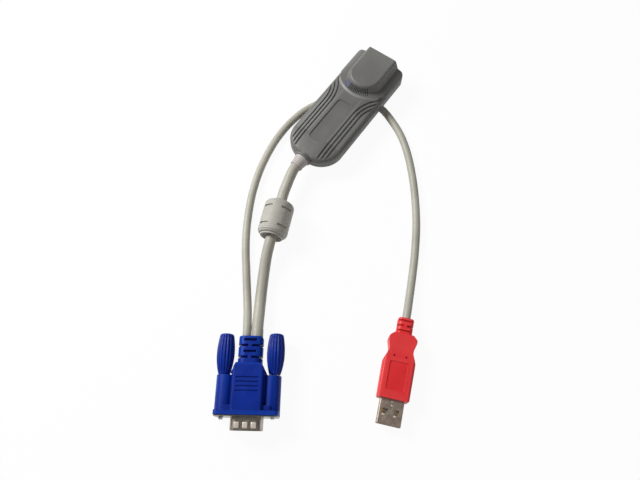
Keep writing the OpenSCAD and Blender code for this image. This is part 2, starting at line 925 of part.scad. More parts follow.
// Moulded hood of the video plug
function hood_plan() =
    let (b = boot_w / 2, s = hood_waist_w / 2)
    rounded([[-b, 0], [b, 0], [b, boot_straight], [s, hood_waist_y], [s, hood_len],
        [-s, hood_len], [-s, hood_waist_y], [-b, boot_straight]],
        [boot_slot_w, boot_slot_w, boot_corner, 0, 0, 0, 0, boot_corner]);

module boot_slots() {
    for (row = [0:boot_slot_rows - 1], side = [-1, 1])
        translate([0, boot_slot_first + row * boot_slot_pitch, side * boot_h / 2])
            if (row % 2 == 0)
                cube([boot_slot_middle, boot_slot_w, 2 * boot_slot_depth], center = true);
            else
                for (hand = [-1, 1])
                    translate([hand * (boot_slot_gap / 2 + boot_w / 2), 0, 0])
                        cube([boot_w, boot_slot_w, 2 * boot_slot_depth], center = true);
    for (row = [1:2:boot_slot_rows - 1], hand = [-1, 1])
        translate([hand * boot_w / 2, boot_slot_first + row * boot_slot_pitch, 0])
            cube([2 * boot_slot_depth, boot_slot_w, boot_h + overrun], center = true);
}

module screw_passage() {
    pocket_front = washer_y + washer_t / 2 + knob_gap;
    pocket_back = washer_y - washer_t / 2 - screw_float - knob_gap;
    for (side = [-1, 1])
        translate([side * screw_x_plug, 0, 0]) {
            rod_y(shank_r + run_gap, ear_y - overrun, pocket_front, small_sides);
            rod_y(washer_r + slip, pocket_back, pocket_front, small_sides);
            rod_y(thread_r + run_gap, washer_y, hood_len + overrun, small_sides);
        }
}

module plug_hood() {
    chamfer = (hood_h - hood_top_h) / 2;
    pocket_y = hood_len - rear_depth;
    color(plug_blue)
        at_video_plug()
            difference() {
                union() {
                    intersection() {
                        linear_extrude(hood_top_h, center = true)
                            polygon(hood_plan());
                        union() {
                            run_y(0, hood_waist_y)
                                polygon(box_points(2 * hood_w, boot_h));
                            intersection() {
                                run_y(hood_rise_y, hood_len)
                                    polygon(hood_section());
                                hood_profile();
                                for (side = [0, 1])
                                    mirror([side, 0, 0])
                                        hood_shoulder();
                            }
                        }
                        boot_sides();
                    }
                    for (side = [-1, 1])
                        translate([side * ear_x, 0, 0])
                            rod_y(ear_r, ear_y, hood_len, round_sides);
                    run_y(ear_y, hood_len)
                        polygon(box_points(2 * ear_x, web_h));
                    run_y(hood_len - hood_base_t - valley_fill, hood_len)
                        polygon(box_points(2 * ear_x, valley_h));
                    run_y(hood_len - hood_base_t, hood_len)
                        polygon(round_box(hood_w, hood_h, flange_corner));
                    run_y(hood_len - hood_base_t - chamfer, hood_len)
                        polygon(round_box(hood_w - chamfer, hood_top_h, flange_corner));
                }
                boot_slots();
                screw_passage();
                for (side = [-1, 1], i = [0:rib_count - 1])
                    translate([0, rib_first + i * rib_pitch, side * hood_top_h / 2])
                        cube([rib_len, rib_w, 2 * rib_depth], center = true);
                translate([video_entry_x, 0, 0])
                    rod_y(video_d / 2 + slip, -overrun, entry_depth);
                translate([bus_entry_x, 0, 0])
                    rod_y(bus_d / 2 + slip, -overrun, entry_depth);
                run_y(pocket_y, hood_len + overrun)
                    polygon(round_box(rear_w + 2 * slip, rear_h + 2 * slip, flange_corner));
                run_y(hood_len - insulator_back - slip, hood_len + overrun)
                    polygon(d_outline(d_wall - slip));
                run_y(hood_len - chamber_back, hood_len - insulator_back)
                    polygon(round_box(chamber_w, chamber_h, flange_t));
            }
}

// End view of the hood's middle: a flat face on each side with slanting flanks
function hood_section() = let (face = plateau_w / 2, low = hood_waist_w / 2, h = hood_top_h / 2)
    rounded([[-low, 0], [-face, -h], [face, -h], [low, 0], [face, h], [-face, h]],
        [0, rib_w, rib_w, 0, rib_w, rib_w]);

// Side view of the hood's middle, which rises from the boot to its flat faces
module hood_profile() {
    b = boot_h / 2;
    h = hood_top_h / 2;
    rotate([quarter_turn, 0, quarter_turn])
        linear_extrude(hood_w, center = true)
            polygon([[hood_rise_y, -b], [hood_face_y, -h], [hood_len, -h],
                [hood_len, h], [hood_face_y, h], [hood_rise_y, b]]);
}

// Slanting shoulder that points the flat faces towards the boot
module hood_shoulder() {
    b = boot_h / 2;
    h = hood_top_h / 2;
    lead_in = atan2((plateau_w - face_tip_w) / 2, face_full_y - hood_face_y);
    translate([face_tip_w / 2, hood_face_y, 0])
        rotate([0, 0, -lead_in])
            run_y(-hood_len, hood_len)
                polygon([[-hood_w, -h], [0, -h], [face_slope, -b], [face_slope, b], [0, h], [-hood_w, h]]);
}

// Rounded long sides of the boot
module boot_sides() {
    run_y(0, boot_straight)
        polygon(round_box(boot_w, boot_h, boot_corner));
    run_y(boot_straight, hood_len)
        polygon(box_points(2 * hood_w, 2 * hood_h));
}

// Outline of the video plug's shell, wide side down
function d_outline(inset) = let (w = d_wide / 2 - inset, n = d_narrow / 2 - inset, h = d_h / 2 - inset)
    let (r = d_corner - inset)
    rounded([[-w, -h], [w, -h], [n, h], [-n, h]], [r, r, r, r]);

module plug_front_shell() {
    color(nickel)
        at_video_plug() {
            difference() {
                union() {
                    run_y(flange_y, flange_y + flange_t)
                        polygon(round_box(flange_w, flange_h, flange_corner));
                    run_y(flange_y, flange_y + flange_t + d_out)
                        polygon(d_outline(0));
                    for (side = [-1, 1], i = [-1:1])
                        translate([i * dimple_pitch, flange_y + flange_t + dimple_out,
                            side * (d_h / 2 + dimple_stand - dimple_r)])
                            sphere(r = dimple_r, $fn = small_sides);
                }
                run_y(flange_y - overrun, flange_y + flange_t + d_out + overrun)
                    polygon(d_outline(d_wall));
                for (side = [-1, 1])
                    translate([side * screw_x_plug, 0, 0])
                        rod_y(thread_r + slip, flange_y - overrun, flange_y + flange_t + overrun);
            }
        }
}

module plug_rear_shell() {
    back = flange_y - rear_depth;
    color(nickel)
        at_video_plug()
            difference() {
                run_y(back, flange_y)
                    polygon(round_box(rear_w, rear_h, flange_corner));
                run_y(back - overrun, flange_y + overrun)
                    polygon(round_box(rear_w - 2 * rear_wall, rear_h - 2 * rear_wall, flange_corner));
            }
}

module pin_places() {
    for (row = [-1:1], i = [-2:2])
        translate([i * pin_pitch + (row == 0 ? -pin_stagger : pin_stagger), 0, row * pin_row])
            children();
}

module plug_insulator() {
    front = flange_y + flange_t + insulator_out;
    color(dark_plastic)
        at_video_plug()
            difference() {
                union() {
                    run_y(flange_y - insulator_back, front)
                        polygon(d_outline(d_wall + run_gap));
                    run_y(flange_y - rear_depth, flange_y - rear_wall)
                        polygon(round_box(rear_w - 2 * rear_wall - slip, rear_h - 2 * rear_wall - slip,
                            flange_corner));
                }
                pin_places()
                    rod_y(pin_r + run_gap / 2, flange_y - pin_back, front + overrun, small_sides / 2);
            }
}

module plug_pins() {
    front = flange_y + flange_t + insulator_out;
    color(gold)
        at_video_plug()
            pin_places()
                turned([[0, flange_y - pin_back], [pin_r, flange_y - pin_back],
                    [pin_r, front + pin_out - pin_r], [pin_r / 2, front + pin_out],
                    [0, front + pin_out]], small_sides / 2);
}

// Thumbscrew pieces, drawn on the screw's own axis; draw is how far the screw is pulled back
module screw_washer(draw) {
    color(steel)
        difference() {
            rod_y(washer_r, washer_y - washer_t / 2 - draw, washer_y + washer_t / 2 - draw);
            rod_y(neck_r + run_gap, 0, hood_len);
        }
}

module screw_shaft(draw) {
    neck = washer_y - neck_w / 2;
    tip = flange_y + flange_t + tip_out;
    color(steel)
        translate([0, -draw, 0])
            turned([[0, ear_y - shank_in], [shank_r, ear_y - shank_in], [shank_r, neck], [neck_r, neck],
                [neck_r, neck + neck_w], [thread_r, neck + neck_w], [thread_r, tip - thread_r / 2],
                [thread_r / 2, tip], [0, tip]], small_sides);
}

// Radius of the barrel-shaped knob at a station from -1, its free end, to 1, its root
function knob_radius(t) = knob_d / 2 * (t < 0 ? 1 - (1 - knob_end_r_share) * t * t
    : 1 - (1 - knob_root_r_share) * t * t);
function knob_place(t, end, root) = let (mid = end + knob_len * (1 - knob_belly_share))
    t < 0 ? mid + (mid - end) * t : mid + (root - mid) * t;
function knob_ring(t, end, root) = let (sides = flute_count * flute_sides)
    [for (k = [0:sides - 1]) let (a = k * full_turn / sides)
        let (r = knob_radius(t) - flute_depth * (1 - cos(a * flute_count)) / 2)
        [r * cos(a), knob_place(t, end, root), r * sin(a)]];

// Fluted barrel, skinned ring by ring from its free end to its root
module knob_skin(end, root) {
    sides = flute_count * flute_sides;
    points = concat([for (i = [-knob_stations:knob_stations])
        each knob_ring(i / knob_stations, end, root)], [[0, end, 0], [0, root, 0]]);
    count = len(points);
    walls = [for (i = [0:2 * knob_stations - 1], k = [0:sides - 1]) let (a = i * sides + k,
        b = i * sides + (k + 1) % sides) each [[a, b, a + sides], [b, b + sides, a + sides]]];
    free_end = [for (k = [0:sides - 1]) [count - 2, (k + 1) % sides, k]];
    root_end = [for (k = [0:sides - 1]) let (z = 2 * knob_stations * sides)
        [count - 1, z + k, z + (k + 1) % sides]];
    polyhedron(points = points, faces = concat(walls, free_end, root_end));
}

module thumb_knob(draw) {
    root = ear_y - knob_gap;
    color(plug_blue)
        translate([0, -draw, 0])
            difference() {
                knob_skin(root - knob_len, root);
                rod_y(shank_r + run_gap / 2, root - knob_bore_depth, root + overrun);
            }
}

module at_screw(side) {
    at_video_plug()
        translate([side * screw_x_plug, 0, 0])
            children();
}

module left_screw_washer() {
    at_screw(1)
        screw_washer(0);
}
module right_screw_washer() {
    at_screw(-1)
        screw_washer(right_draw);
}
module left_screw_shaft() {
    at_screw(1)
        screw_shaft(0);
}
module right_screw_shaft() {
    at_screw(-1)
        screw_shaft(right_draw);
}
module left_thumb_knob() {
    at_screw(1)
        thumb_knob(0);
}
module right_thumb_knob() {
    at_screw(-1)
        thumb_knob(right_draw);
}

// Bus plug: waisted grip with a slotted boot, metal shell with two windows, tongue, contacts
function grip_half() = [for (i = [0:len(grip_width_shares) - 1])
    [bus_grip_w / 2 * grip_width_shares[i], bus_grip_len * grip_place_shares[i]]];
function mirrored(points) = [for (i = [len(points) - 1:-1:0]) [-points[i][0], points[i][1]]];
function bus_grip_plan() = let (half = grip_half(), r = bus_edge, b = bus_boot_w / 2)
    rounded(concat([[-b, 0], [b, 0], [b, half[0][1]]], half, mirrored(half), [[-b, half[0][1]]]),
        [bus_slot_w, bus_slot_w, 0, 0, r, r, 2 * r, 2 * r, 2 * r, r / 2,
            r / 2, 2 * r, 2 * r, 2 * r, r, r, 0, 0]);

module bus_plug_grip() {
    color(plug_red)
        at_bus_plug()
            difference() {
                intersection() {
                    linear_extrude(bus_grip_h, center = true)
                        polygon(bus_grip_plan());
                    union() {
                        run_y(0, bus_boot_len + overrun)
                            polygon(round_box(bus_boot_w, bus_boot_h, bus_boot_corner));
                        run_y(bus_boot_len, bus_grip_len)
                            polygon(round_box(bus_grip_w, bus_grip_h, bus_edge));
                    }
                }
                for (row = [0:2])
                    translate([0, bus_slot_first + row * bus_slot_pitch, 0])
                        bus_slot(row);
                for (side = [-1, 1])
                    translate([0, panel_y + panel_len / 2, side * bus_grip_h / 2 - panel_depth])
                        linear_extrude(2 * panel_depth)
                            polygon(round_box(panel_w, panel_len, panel_corner));
                for (hand = [-1, 1])
                    translate([hand * dot_x, dot_y, bus_grip_h / 2 - dot_depth])
                        cylinder(r = dot_r, h = dot_depth + overrun, $fn = small_sides);
                rod_y(bus_d / 2 + slip, -overrun, entry_depth);
                run_y(bus_grip_len - shell_in, bus_grip_len + overrun)
                    polygon(round_box(shell_w + slip, shell_h + slip, shell_corner));
            }
}

module bus_slot(row) {
    for (side = [-1, 1])
        if (row % 2 == 0)
            translate([0, 0, side * bus_boot_h / 2])
                cube([bus_boot_w + overrun, bus_slot_w, 2 * bus_slot_depth], center = true);
        else {
            translate([side * bus_boot_w / 2, 0, 0])
                cube([2 * bus_slot_depth, bus_slot_w, bus_boot_h + overrun], center = true);
            for (face = [-1, 1])
                translate([side * (bus_boot_w + bus_slot_gap) / 2, 0, face * bus_boot_h / 2])
                    cube([bus_boot_w, bus_slot_w, 2 * bus_slot_depth], center = true);
        }
}

module bus_plug_shell() {
    back = bus_grip_len - shell_in;
    tip = bus_grip_len + shell_out;
    color(nickel)
        at_bus_plug()
            difference() {
                run_y(back, tip)
                    polygon(round_box(shell_w, shell_h, shell_corner));
                run_y(back + shell_wall, tip + overrun)
                    polygon(round_box(shell_w - 2 * shell_wall, shell_h - 2 * shell_wall,
                        shell_corner - shell_wall));
                for (side = [-1, 1])
                    translate([side * window_x, bus_grip_len + window_out, 0])
                        cube([window, window, 2 * shell_h], center = true);
            }
}

module bus_plug_tongue() {
    low = -shell_h / 2 + shell_wall + slip / 2;
    back = bus_grip_len - shell_in + shell_wall + slip / 2;
    corner = shell_corner - shell_wall;
    color(white_plastic)
        at_bus_plug()
            difference() {
                union() {
                    run_y(back, bus_grip_len + shell_out - tongue_back)
                        translate([0, low + tongue_h / 2])
                            polygon(rounded(box_points(tongue_w, tongue_h), [corner, corner, 0, 0]));
                    run_y(back, back + shell_in + tongue_base_out)
                        polygon(round_box(tongue_w, shell_h - 2 * shell_wall - slip, corner));
                }
                for (x = blade_x)
                    translate([x - blade_w / 2 - run_gap,
                        bus_grip_len + shell_out - tongue_back - blade_len,
                        low + tongue_h - blade_t])
                        cube([blade_w + 2 * run_gap, blade_len + overrun, blade_t + overrun]);
            }
}

module bus_plug_contacts() {
    low = -shell_h / 2 + shell_wall + slip / 2;
    color(gold)
        at_bus_plug()
            for (x = blade_x)
                translate([x - blade_w / 2, bus_grip_len + shell_out - tongue_back - blade_len + run_gap,
                    low + tongue_h - blade_t])
                    cube([blade_w, blade_len - blade_w, blade_t]);
}

upper_shell();
lower_shell();
case_screws();
circuit_board();
controller_chip();
line_driver_chips();
clock_crystal();
board_capacitors();
status_lamp();
lead_header();
core_wires();
jack_housing();
jack_contacts();
pod_strain_relief();
video_lead();
bus_lead();
ferrite_core();
ferrite_cover();
plug_hood();
plug_front_shell();
plug_rear_shell();
plug_insulator();
plug_pins();
left_screw_washer();
right_screw_washer();
left_screw_shaft();
right_screw_shaft();
left_thumb_knob();
right_thumb_knob();
bus_plug_grip();
bus_plug_shell();
bus_plug_tongue();
bus_plug_contacts();
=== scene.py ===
import math

import bmesh
import bpy
from mathutils import Matrix, Vector


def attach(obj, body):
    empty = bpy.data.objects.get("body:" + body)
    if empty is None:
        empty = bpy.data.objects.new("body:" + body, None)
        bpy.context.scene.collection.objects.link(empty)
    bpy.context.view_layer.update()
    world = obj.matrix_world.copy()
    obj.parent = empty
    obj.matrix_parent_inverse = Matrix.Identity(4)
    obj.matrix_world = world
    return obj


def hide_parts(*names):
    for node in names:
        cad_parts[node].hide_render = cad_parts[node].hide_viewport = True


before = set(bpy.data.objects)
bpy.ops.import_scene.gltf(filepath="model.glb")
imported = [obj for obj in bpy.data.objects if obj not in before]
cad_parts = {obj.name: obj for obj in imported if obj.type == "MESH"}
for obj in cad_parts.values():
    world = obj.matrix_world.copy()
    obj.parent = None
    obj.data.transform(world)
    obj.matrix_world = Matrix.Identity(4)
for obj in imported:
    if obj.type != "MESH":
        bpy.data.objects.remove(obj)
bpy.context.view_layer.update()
scene = bpy.context.scene
MM = 0.001

# Camera at the photograph's angle: 22 degrees off the vertical, with Z up
camera_data = bpy.data.cameras.new("camera")
camera = bpy.data.objects.new("camera", camera_data)
scene.collection.objects.link(camera)
camera.location = (0.10299, -0.16673, 0.27523)
look_at = Vector((0.03506, -0.07254, -0.0122))
camera.rotation_euler = (look_at - camera.location).to_track_quat("-Z", "Y").to_euler()
camera_data.sensor_width = 36.0
camera_data.lens = 31.5
camera_data.clip_start = 0.01
camera_data.clip_end = 10.0
scene.camera = camera

# Sizes repeated from the CAD source, in metres
VIDEO_D = 0.006
BUS_D = 0.0044
FLOOR_Z = -0.01224
PLUG_AT = Vector((0.040, -0.138, -0.005))
PLUG_TURN = -math.radians(145.5)
BUS_PLUG_AT = Vector((0.098, -0.084, -0.0079))
BUS_PLUG_TURN = -math.radians(157)
BEAD_TURN = -math.radians(157)
VIDEO_ROUTE = [
    (0, -36.5, -2.8), (0, -41, -2.8), (0, -48, -2.8), (0.6, -52, -2.95), (2.2, -58, -3.4),
    (4.4, -65, -3.85), (8, -73.6, -4), (13, -85.4, -4), (16, -92.5, -4.5), (19, -99.5, -6.4),
    (23.5, -108, -8.7), (29.5, -118, -9.2), (34.8, -126.2, -8), (38.6, -131.8, -6),
    (40.7, -134.4, -5.1), (44.4, -139.8, -5)]
BUS_ROUTE = [
    (40, -142.8, -5), (35.6, -136.4, -5.1), (32.8, -132.9, -6.2), (28, -127.2, -8.8),
    (21, -119.2, -10), (13.5, -110.4, -10), (6, -101.5, -10), (-1, -92, -10),
    (-7.5, -81.5, -10), (-13, -71, -10), (-17.8, -59, -10), (-21.3, -46, -10),
    (-23.2, -33, -10), (-23, -20, -10), (-20.5, -8, -10), (-14.5, 3.5, -10),
    (-5.5, 12.5, -10), (5.5, 18, -10), (16, 18, -10), (26, 14.2, -10), (36, 8.6, -10),
    (46, 0.2, -10), (56, -10.6, -10), (65, -22, -10), (74, -35.2, -10),
    (82, -49.4, -10), (88.4, -62.4, -10), (93.4, -73.4, -9.2), (96.2, -79.8, -8),
    (99.6, -87.7, -7.9)]


def add_piece(name, verts, faces, smooth=True):
    """A mesh object from points in metres."""
    mesh = bpy.data.meshes.new(name)
    mesh.from_pydata([tuple(v) for v in verts], [], faces)
    mesh.validate()
    work = bmesh.new()
    work.from_mesh(mesh)
    bmesh.ops.recalc_face_normals(work, faces=work.faces)
    work.to_mesh(mesh)
    work.free()
    if smooth:
        mesh.shade_smooth()
    piece = bpy.data.objects.new(name, mesh)
    scene.collection.objects.link(piece)
    return piece


def ring_skin(rings):
    """Points and faces of a closed skin through rings of equal size, with a fan at both ends."""
    count, sides = len(rings), len(rings[0])
    verts = [p for ring in rings for p in ring]
    faces = [(i * sides + k, i * sides + (k + 1) % sides,
              (i + 1) * sides + (k + 1) % sides, (i + 1) * sides + k)
             for i in range(count - 1) for k in range(sides)]
    for ring, flip in ((rings[0], True), (rings[-1], False)):
        centre = len(verts)
        verts.append(sum((Vector(p) for p in ring), Vector()) / sides)
        base = 0 if flip else (count - 1) * sides
        for k in range(sides):
            pair = (base + k, base + (k + 1) % sides)
            faces.append((centre, pair[1], pair[0]) if flip else (centre, *pair))
    return verts, faces


def smooth_route(route, steps=8):
    """The CAD route's own spline, sampled finely, never below its lowest point."""
    points = [Vector(p) * MM for p in route]
    lowest, last, out = min(p.z for p in points), len(points) - 1, []
    for i in range(last):
        a, b, c, d = points[max(i - 1, 0)], points[i], points[i + 1], points[min(i + 2, last)]
        for s in range(steps):
            t = s / steps
            q = (2 * b + (c - a) * t + (2 * a - 5 * b + 4 * c - d) * t * t
                 + (3 * b - a - 3 * c + d) * t * t * t) / 2
            q.z = max(q.z, lowest)
            out.append(q)
    out.append(points[-1])
    return out


def lead_tube(name, route, diameter, sides=28):
    """Round tube along a route, its skin faintly drawn in and out as an extruded jacket is."""
    points = smooth_route(route)
    last = len(points) - 1
    rings = []
    for i, p in enumerate(points):
        ahead = (points[min(i + 1, last)] - points[max(i - 1, 0)]).normalized()
        side = ahead.cross(Vector((0, 0, 1))).normalized()
        up = side.cross(ahead)
        r = diameter / 2 * (1 - 0.004 * (1 + math.sin(i * 0.9)))
        rings.append([p + r * (side * math.cos(a) + up * math.sin(a))
                      for a in (k * math.tau / sides for k in range(sides))])
    return add_piece(name, *ring_skin(rings))


video_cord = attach(lead_tube("video_lead_jacket", VIDEO_ROUTE, VIDEO_D), "module")
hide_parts("video_lead")
bus_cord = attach(lead_tube("bus_lead_jacket", BUS_ROUTE, BUS_D), "module")
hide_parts("bus_lead")


# Surfaces of the pod that pieces are fitted to, in millimetres over its underside where they are heights
UNDERSIDE = 7.5
CROWN_TOP, CROWN_R, CROWN_HALF = 9.6, 42.37, 2.5
BLOCK_Y, BLOCK_FOOT_R, BLOCK_FOOT_H, BLOCK_TAPER = 22.5, 12.9, 6.4, 3.6 / 8.6
LEDGE_Y, LEDGE_R, LEDGE_STEP = 26.2, 17.0, 1.0
LEDGE_FOOT_R = 11.14
NOSE_Y, NOSE_R = -26, 14
EDGE_R, EDGE_H, EDGE_INSET = 3.2, 4.88, 2.318
LEAD_Z, SLEEVE_SIDES = -2.8, 64
LEAD_H = UNDERSIDE + LEAD_Z

# Small pieces that the CAD keeps plain
PLUG_FRAME = Matrix.Translation(PLUG_AT) @ Matrix.Rotation(PLUG_TURN, 4, "Z")
SCREW_X = 12.495
KNOB_END, KNOB_ROOT = -1.4, 18.8
FLUTES = 16


def plug_ring(x, y, radius_at, sides):
    """A ring round a thumbscrew's axis, in the plug's frame, given in millimetres."""
    out = []
    for k in range(sides):
        a = k * math.tau / sides
        r = radius_at(a)
        out.append(PLUG_FRAME @ (Vector((x + r * math.cos(a), y, r * math.sin(a))) * MM))
    return out


def fluted_knob(name, x, draw):
    """Barrel knob whose flutes run out before its rounded ends, open at its root for the screw."""
    sides, stations = FLUTES * 12, 56
    rings = []
    for back, drop in ((0.0, 1.15), (0.04, 0.75), (0.16, 0.36), (0.36, 0.12)):
        rings.append(plug_ring(x, KNOB_END + back - draw, lambda a, d=drop: 3.38 - d, sides))
    middle = KNOB_END + 20.2 * 0.48
    for i in range(stations + 1):
        y = KNOB_END + 0.6 + (KNOB_ROOT - KNOB_END - 0.6) * i / stations
        t = (y - middle) / (middle - KNOB_END) if y < middle else (y - middle) / (KNOB_ROOT - middle)
        body = 4.45 * (1 - (0.24 if t < 0 else 0.38) * t * t)
        fade = min(max((1 - abs(t)) / 0.22, 0.0), 1.0)
        fade = fade * fade * (3 - 2 * fade)
        rings.append(plug_ring(
            x, y - draw,
            lambda a, b=body, f=fade: b - 0.5 * f * (0.5 - 0.5 * math.cos(FLUTES * a)) ** 1.7, sides))
    for y, r in ((KNOB_ROOT, 2.45), (KNOB_ROOT, 1.6), (KNOB_ROOT - 14.9, 1.6)):
        rings.append(plug_ring(x, y - draw, lambda a, r=r: r, sides))
    return add_piece(name, *ring_skin(rings))


def threaded_shaft(name, x, draw):
    """Captive screw: plain shank, neck for its washer and a 4-40 thread to its tip."""
    sides, pitch = 24, 0.635
    rings = [plug_ring(x, y - draw, lambda a, r=r: r, sides) for y, r in (
        (4.5, 0.9), (4.5, 1.35), (4.65, 1.5), (29.8, 1.5), (29.85, 1.1), (30.95, 1.1), (30.95, 1.3))]
    start, tip = 31.0, 39.7
    count = int((tip - start) / (pitch / 8))
    for i in range(count + 1):
        y = start + (tip - start) * i / count
        lead_out = min(1.0, (tip - y) / 0.9)

        def radius(a, y=y, lead_out=lead_out):
            phase = (y / pitch - a / math.tau) % 1.0
            return (1.42 - 0.3 * abs(2 * phase - 1)) * (0.62 + 0.38 * lead_out)

        rings.append(plug_ring(x, y - draw, radius, sides))
    return add_piece(name, *ring_skin(rings))


for side, side_x, side_draw in (("left", SCREW_X, 0.0), ("right", -SCREW_X, 0.5)):
    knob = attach(fluted_knob(side + "_fluted_knob", side_x, side_draw), side + "_screw")
    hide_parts(side + "_thumb_knob")
    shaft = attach(threaded_shaft(side + "_threaded_shaft", side_x, side_draw), side + "_screw")
    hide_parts(side + "_screw_shaft")


def recessed_screws(name, places, floor_height):
    """Case screws seen from below: flat heads with a tapered cross recess, and their shanks."""
    verts, faces = [], []

    def ring(x, y, z, r, sides=32):
        first = len(verts)
        verts.extend((x + r * math.cos(k * math.tau / sides), y + r * math.sin(k * math.tau / sides), z)
                     for k in range(sides))
        return list(range(first, first + sides))

    def cross(x, y, z, arm, half):
        first = len(verts)
        quarter = [(half, arm), (-half, arm), (-half, half)]
        for turn in range(4):
            c, s = ((1, 0), (0, 1), (-1, 0), (0, -1))[turn]
            verts.extend((x + c * px - s * py, y + s * px + c * py, z) for px, py in quarter)
        return list(range(first, first + 12))

    def band(one, two):
        n = len(one)
        faces.extend((one[k], one[(k + 1) % n], two[(k + 1) % n], two[k]) for k in range(n))

    for x, y in places:
        z = floor_height
        rim, low_cross = ring(x, y, z, 1.85, 48), cross(x, y, z, 1.15, 0.26)
        per = 4
        for k in range(12):
            near, after = low_cross[k], low_cross[(k + 1) % 12]
            start = 12 + k * per - 2
            arc = [rim[(start + j) % 48] for j in range(per + 1)]
            faces.extend((arc[j], arc[j + 1], near) for j in range(per // 2))
            faces.extend((arc[j], arc[j + 1], after) for j in range(per // 2, per))
            faces.append((near, arc[per // 2], after))
        band(low_cross, deep := cross(x, y, z + 0.75, 0.6, 0.16))
        faces.append(tuple(deep))
        head = ring(x, y, z + 0.15, 2.0, 48)
        top = ring(x, y, z + 1.1, 2.0, 48)
        band(rim, head)
        band(head, top)
        neck = ring(x, y, z + 1.1, 1.05, 48)
        band(top, neck)
        end = ring(x, y, z + 9.0, 1.05, 48)
        band(neck, end)
        faces.append(tuple(end))
    return add_piece(name, [Vector(v) * MM for v in verts], faces, smooth=False)


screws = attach(recessed_screws("recessed_case_screws", ((-7.0, 19.4), (7.0, 19.4)), -UNDERSIDE), "module")
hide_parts("case_screws")


def crown_height(x):
    """Height of the grip's crown above the underside, at a distance from the middle."""
    out = max(abs(x) - CROWN_HALF, 0.0)
    return CROWN_TOP - CROWN_R + math.sqrt(CROWN_R ** 2 - out ** 2)


def block_radius(height):
    """Radius of the jack block's sloping round front at a height above the underside."""
    return BLOCK_FOOT_R - BLOCK_TAPER * (height - BLOCK_FOOT_H)


def foot_panel(name, high, reach, first, last, across, proud, sunk=-0.02, thick=0.4):
    """A skin down the block's front slope and out over the ledge at its foot, between two bearings."""
    down, out = 8, 4
    outer, inner = [], []
    for j in range(down + out + 1):
        for i in range(across + 1):
            a = math.radians(first + (last - first) * i / across)
            foot = crown_height(LEDGE_FOOT_R * math.sin(a)) + LEDGE_STEP
            stand = proud if min(i, across - i, j, down + out - j) else sunk
            if j <= down:
                h = high + (foot + stand - high) * j / down
                r, tip = block_radius(h) + stand, (1.0, BLOCK_TAPER if j == down else 0.0)
            else:
                r = block_radius(foot) + stand + reach * (j - down) / out
                h, tip = crown_height(r * math.sin(a)) + LEDGE_STEP + stand, (0.2, 1.0)
            outer.append((r * math.sin(a), BLOCK_Y - r * math.cos(a), h - UNDERSIDE))
            r -= thick * tip[0]
            inner.append((r * math.sin(a), BLOCK_Y - r * math.cos(a), h - thick * tip[1] - UNDERSIDE))
    wide, tall, count = across + 1, down + out, len(outer)
    faces = []
    for j in range(tall):
        for i in range(across):
            q = (j * wide + i, j * wide + i + 1, (j + 1) * wide + i + 1, (j + 1) * wide + i)
            faces += [q, tuple(count + v for v in reversed(q))]
    border = ([i for i in range(across)] + [j * wide + across for j in range(tall)]
              + [tall * wide + i for i in range(across, 0, -1)] + [j * wide for j in range(tall, 0, -1)])
    faces += [(a, b, count + b, count + a) for a, b in zip(border, border[1:] + border[:1])]
    return add_piece(name, [Vector(v) * MM for v in outer + inner], faces)


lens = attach(foot_panel("status_lamp_lens", 13.2, 2.2, -47, -22, 16, 0.05), "module")
# Dark strips laid on the slope over the vent slits: painted shade standing for the shadow inside each
# slit.
SLIT_SHADE_STRIPS = []
for number in range(12):
    bearing = 9 + (number - 5.5) * 5.4
    half = 1.75 if number < 6 else 1.4
    SLIT_SHADE_STRIPS.append(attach(foot_panel("slit_painted_shade_" + str(number), 13.5, 1.5, bearing - half,
                                    bearing + half, 2, 0.03, 0.02, 0.3), "module"))


def ledge_bevel(name):
    """Chamfer in front of the ledge's step, which runs out at both ends of its arc."""
    steps, rings = 72, []
    for i in range(steps + 1):
        t = -1 + 2 * i / steps
        a = math.radians(55) * t
        wide = 1.25 * min(1.0, (1 - abs(t)) / 0.12 + 0.05)
        profile = ((-0.1, 0.9), (0.02, 1.0), (0.12, 0.985), (0.9 * wide, 0.14), (wide, 0.02),
                   (wide, -0.12), (-0.1, -0.12))
        ring = []
        for past, rise in profile:
            x, y = (LEDGE_R + past) * math.sin(a), LEDGE_Y - (LEDGE_R + past) * math.cos(a)
            ring.append(Vector((x, y, crown_height(x) + LEDGE_STEP * rise - UNDERSIDE)) * MM)
        rings.append(ring)
    return add_piece(name, *ring_skin(rings))


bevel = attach(ledge_bevel("ledge_bevel"), "module")


def tapered_sleeve(name):
    """Strain relief that narrows in shallow steps from the nose to its rolled rim."""
    profile = ((-47.3, 3.05), (-47.3, 3.4), (-47.2, 3.62), (-46.95, 3.72), (-46.3, 3.74), (-46.05, 3.66),
               (-45.9, 3.54), (-44.9, 3.66), (-44.8, 3.78), (-43.7, 3.9), (-43.6, 4.02), (-42.5, 4.14),
               (-42.4, 4.25), (-41.2, 4.36), (-40.9, 4.3), (-40.8, 4.0), (-40.8, 3.05))
    rings = [[Vector((r * math.cos(a), y, LEAD_Z + r * math.sin(a))) * MM
              for a in (k * math.tau / SLEEVE_SIDES for k in range(SLEEVE_SIDES))] for y, r in profile]
    return add_piece(name, *ring_skin(rings))


def nose_height(x, y):
    """Height of the nose's skin above the underside, at a place near its front."""
    inset = max(NOSE_R - math.hypot(max(abs(x) - CROWN_HALF, 0.0), NOSE_Y - y), 0.001)
    if inset < EDGE_INSET:
        return EDGE_H + EDGE_R * math.sqrt(max(1 - (1 - inset / EDGE_R) ** 2, 0.0))
    return crown_height(CROWN_HALF + NOSE_R - inset)


